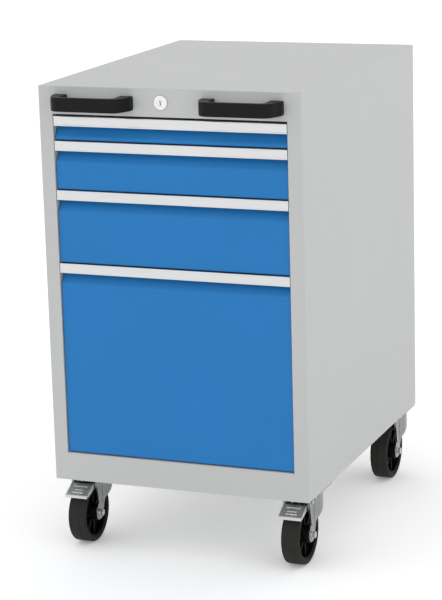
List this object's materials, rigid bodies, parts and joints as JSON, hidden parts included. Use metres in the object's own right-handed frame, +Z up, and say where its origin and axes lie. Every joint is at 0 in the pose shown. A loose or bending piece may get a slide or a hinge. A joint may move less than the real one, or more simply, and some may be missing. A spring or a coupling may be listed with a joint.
{
  "type": "mobile drawer cabinet",
  "caption": "Mobile steel drawer cabinet on swivel casters, with stacked full-extension drawers, aluminium grip rails, bow push handles and a central lock.",
  "frame": {"origin": "on the floor, below the centre of the whole object's bounding box (handles and rear screw heads included)", "axes": "+X to the right when facing the drawers, -Y towards the person who opens them, +Z up"},
  "size_m": [0.555, 0.788, 0.969],
  "materials": {
    "housing_paint": "light grey powder coat, satin, fine texture",
    "tray_paint": "light grey powder coat, satin",
    "front_paint": "mid blue powder coat, satin, fine texture",
    "rail_aluminium": "clear anodised, lightly brushed along its length",
    "handle_plastic": "black moulded plastic, fine grain",
    "lock_chrome": "bright nickel plate",
    "zinc_steel": "bright zinc plate",
    "caster_zinc": "pressed steel, bright zinc plate",
    "tyre_rubber": "dark grey solid rubber",
    "rim_plastic": "black moulded nylon"
  },
  "bodies": {
    "housing": {"left_side_panel": "housing_paint", "right_side_panel": "housing_paint", "top_panel": "housing_paint", "base_panel": "housing_paint", "back_panel": "housing_paint", "back_panel_screws": "zinc_steel", "front_header": "housing_paint", "front_sill": "housing_paint", "runner_uprights": "zinc_steel", "left_push_handle": "handle_plastic", "right_push_handle": "handle_plastic", "handle_screws": "zinc_steel", "lock_cylinder": "lock_chrome", "caster_bolts": "zinc_steel", "cabinet_runners_1": "zinc_steel", "cabinet_runners_2": "zinc_steel", "cabinet_runners_3": "zinc_steel", "cabinet_runners_4": "zinc_steel", "caster_plate_front_left": "caster_zinc", "caster_plate_front_right": "caster_zinc", "caster_plate_rear_left": "caster_zinc", "caster_plate_rear_right": "caster_zinc"},
    "lock_plug": {"lock_plug": "lock_chrome"},
    "lock_link": {"lock_link": "zinc_steel"},
    "lock_bar": {"lock_bar": "zinc_steel"},
    "drawer_1": {"drawer_box_1": "tray_paint", "drawer_front_1": "front_paint", "grip_rail_1": "rail_aluminium"},
    "carriage_1": {"runner_carriages_1": "zinc_steel"},
    "drawer_2": {"drawer_box_2": "tray_paint", "drawer_front_2": "front_paint", "grip_rail_2": "rail_aluminium"},
    "carriage_2": {"runner_carriages_2": "zinc_steel"},
    "drawer_3": {"drawer_box_3": "tray_paint", "drawer_front_3": "front_paint", "grip_rail_3": "rail_aluminium"},
    "carriage_3": {"runner_carriages_3": "zinc_steel"},
    "drawer_4": {"drawer_box_4": "tray_paint", "drawer_front_4": "front_paint", "grip_rail_4": "rail_aluminium"},
    "carriage_4": {"runner_carriages_4": "zinc_steel"},
    "caster_front_left": {"caster_fork_front_left": "caster_zinc", "caster_axle_front_left": "zinc_steel"},
    "wheel_front_left": {"wheel_rim_front_left": "rim_plastic", "tyre_front_left": "tyre_rubber"},
    "pedal_front_left": {"brake_pedal_front_left": "caster_zinc"},
    "caster_front_right": {"caster_fork_front_right": "caster_zinc", "caster_axle_front_right": "zinc_steel"},
    "wheel_front_right": {"wheel_rim_front_right": "rim_plastic", "tyre_front_right": "tyre_rubber"},
    "pedal_front_right": {"brake_pedal_front_right": "caster_zinc"},
    "caster_rear_left": {"caster_fork_rear_left": "caster_zinc", "caster_axle_rear_left": "zinc_steel"},
    "wheel_rear_left": {"wheel_rim_rear_left": "rim_plastic", "tyre_rear_left": "tyre_rubber"},
    "caster_rear_right": {"caster_fork_rear_right": "caster_zinc", "caster_axle_rear_right": "zinc_steel"},
    "wheel_rear_right": {"wheel_rim_rear_right": "rim_plastic", "tyre_rear_right": "tyre_rubber"}
  },
  "joints": [
    {"name": "drawer_1_slide", "type": "slide", "parent": "housing", "child": "drawer_1", "axis": [0, -1, 0], "range_m": [0, 0.63]},
    {"name": "carriage_1_slide", "type": "slide", "parent": "housing", "child": "carriage_1", "axis": [0, -1, 0], "range_m": [0, 0.315]},
    {"name": "drawer_2_slide", "type": "slide", "parent": "housing", "child": "drawer_2", "axis": [0, -1, 0], "range_m": [0, 0.63]},
    {"name": "carriage_2_slide", "type": "slide", "parent": "housing", "child": "carriage_2", "axis": [0, -1, 0], "range_m": [0, 0.315]},
    {"name": "drawer_3_slide", "type": "slide", "parent": "housing", "child": "drawer_3", "axis": [0, -1, 0], "range_m": [0, 0.63]},
    {"name": "carriage_3_slide", "type": "slide", "parent": "housing", "child": "carriage_3", "axis": [0, -1, 0], "range_m": [0, 0.315]},
    {"name": "drawer_4_slide", "type": "slide", "parent": "housing", "child": "drawer_4", "axis": [0, -1, 0], "range_m": [0, 0.63]},
    {"name": "carriage_4_slide", "type": "slide", "parent": "housing", "child": "carriage_4", "axis": [0, -1, 0], "range_m": [0, 0.315]},
    {"name": "caster_front_left_swivel", "type": "hinge", "parent": "housing", "child": "caster_front_left", "pos_m": [-0.235, -0.243, 0.15], "axis": [0, 0, 1], "continuous": true},
    {"name": "wheel_front_left_spin", "type": "hinge", "parent": "caster_front_left", "child": "wheel_front_left", "pos_m": [-0.235, -0.283, 0.0625], "axis": [1, 0, 0], "continuous": true},
    {"name": "brake_pedal_front_left_press", "type": "hinge", "parent": "caster_front_left", "child": "pedal_front_left", "pos_m": [-0.235, -0.279, 0.13], "axis": [1, 0, 0], "range_deg": [0, 10]},
    {"name": "caster_front_right_swivel", "type": "hinge", "parent": "housing", "child": "caster_front_right", "pos_m": [0.235, -0.243, 0.15], "axis": [0, 0, 1], "continuous": true},
    {"name": "wheel_front_right_spin", "type": "hinge", "parent": "caster_front_right", "child": "wheel_front_right", "pos_m": [0.235, -0.283, 0.0625], "axis": [1, 0, 0], "continuous": true},
    {"name": "brake_pedal_front_right_press", "type": "hinge", "parent": "caster_front_right", "child": "pedal_front_right", "pos_m": [0.235, -0.279, 0.13], "axis": [1, 0, 0], "range_deg": [0, 10]},
    {"name": "caster_rear_left_swivel", "type": "hinge", "parent": "housing", "child": "caster_rear_left", "pos_m": [-0.235, 0.342, 0.15], "axis": [0, 0, 1], "continuous": true},
    {"name": "wheel_rear_left_spin", "type": "hinge", "parent": "caster_rear_left", "child": "wheel_rear_left", "pos_m": [-0.235, 0.302, 0.0625], "axis": [1, 0, 0], "continuous": true},
    {"name": "caster_rear_right_swivel", "type": "hinge", "parent": "housing", "child": "caster_rear_right", "pos_m": [0.235, 0.342, 0.15], "axis": [0, 0, 1], "continuous": true},
    {"name": "wheel_rear_right_spin", "type": "hinge", "parent": "caster_rear_right", "child": "wheel_rear_right", "pos_m": [0.235, 0.302, 0.0625], "axis": [1, 0, 0], "continuous": true},
    {"name": "lock_bar_slide", "type": "slide", "parent": "housing", "child": "lock_bar", "axis": [0, 0, 1], "range_m": [0, 0.01697]},
    {"name": "lock_link_slide", "type": "slide", "parent": "housing", "child": "lock_link", "axis": [1, 0, 0], "range_m": [0, 0.017]},
    {"name": "lock_turn", "type": "hinge", "parent": "housing", "child": "lock_plug", "pos_m": [-0.013, -0.344, 0.942], "axis": [0, 1, 0], "range_deg": [0, 90]}
  ],
  "couplings": [
    {"joint": "carriage_1_slide", "follows": "drawer_1_slide", "ratio": 0.5},
    {"joint": "carriage_2_slide", "follows": "drawer_2_slide", "ratio": 0.5},
    {"joint": "carriage_3_slide", "follows": "drawer_3_slide", "ratio": 0.5},
    {"joint": "carriage_4_slide", "follows": "drawer_4_slide", "ratio": 0.5},
    {"joint": "lock_link_slide", "follows": "lock_bar_slide", "ratio": 1},
    {"joint": "lock_turn", "follows": "lock_bar_slide", "rad_per_m": 92.56}
  ]
}
